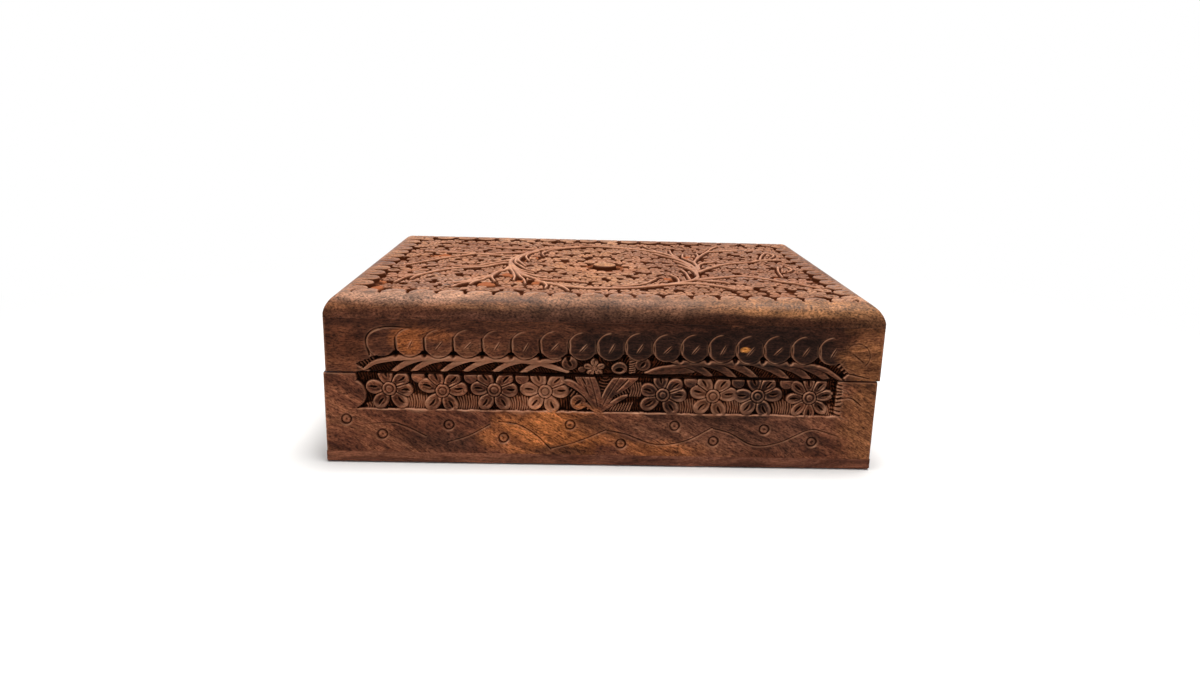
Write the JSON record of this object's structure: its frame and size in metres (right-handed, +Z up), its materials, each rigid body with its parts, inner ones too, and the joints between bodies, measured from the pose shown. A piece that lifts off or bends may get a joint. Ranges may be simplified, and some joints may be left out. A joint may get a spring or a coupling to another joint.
{
  "type": "keepsake box",
  "caption": "Oblong carved wooden keepsake box with a hinged lid, flower friezes round the sides and a sunk carved field on the top.",
  "frame": {"origin": "centre of the base's underside, on the surface that the box stands on", "axes": "+X to the right along the front, +Y from the front to the hinged back, +Z up"},
  "size_m": [0.204, 0.1524, 0.0635],
  "materials": {
    "rosewood": "waxed satin",
    "brass": "dull",
    "steel": "plain"
  },
  "bodies": {
    "base": {"base_front_board": "rosewood", "base_back_board": "rosewood", "base_left_board": "rosewood", "base_right_board": "rosewood", "base_bottom_board": "rosewood", "base_corner_pins": "steel", "bottom_board_nails": "steel", "left_hinge_base_leaf": "brass", "left_hinge_base_screws": "brass", "left_hinge_pin": "steel", "right_hinge_base_leaf": "brass", "right_hinge_base_screws": "brass", "right_hinge_pin": "steel"},
    "lid": {"lid_top_board": "rosewood", "lid_front_rail": "rosewood", "lid_back_rail": "rosewood", "lid_left_rail": "rosewood", "lid_right_rail": "rosewood", "lid_corner_pins": "steel", "left_hinge_lid_leaf": "brass", "left_hinge_lid_screws": "brass", "right_hinge_lid_leaf": "brass", "right_hinge_lid_screws": "brass"}
  },
  "joints": [
    {"name": "lid_hinge", "type": "hinge", "parent": "base", "child": "lid", "pos_m": [0, 0.0742, 0.03445], "axis": [-1, 0, 0], "range_deg": [0, 100]}
  ]
}
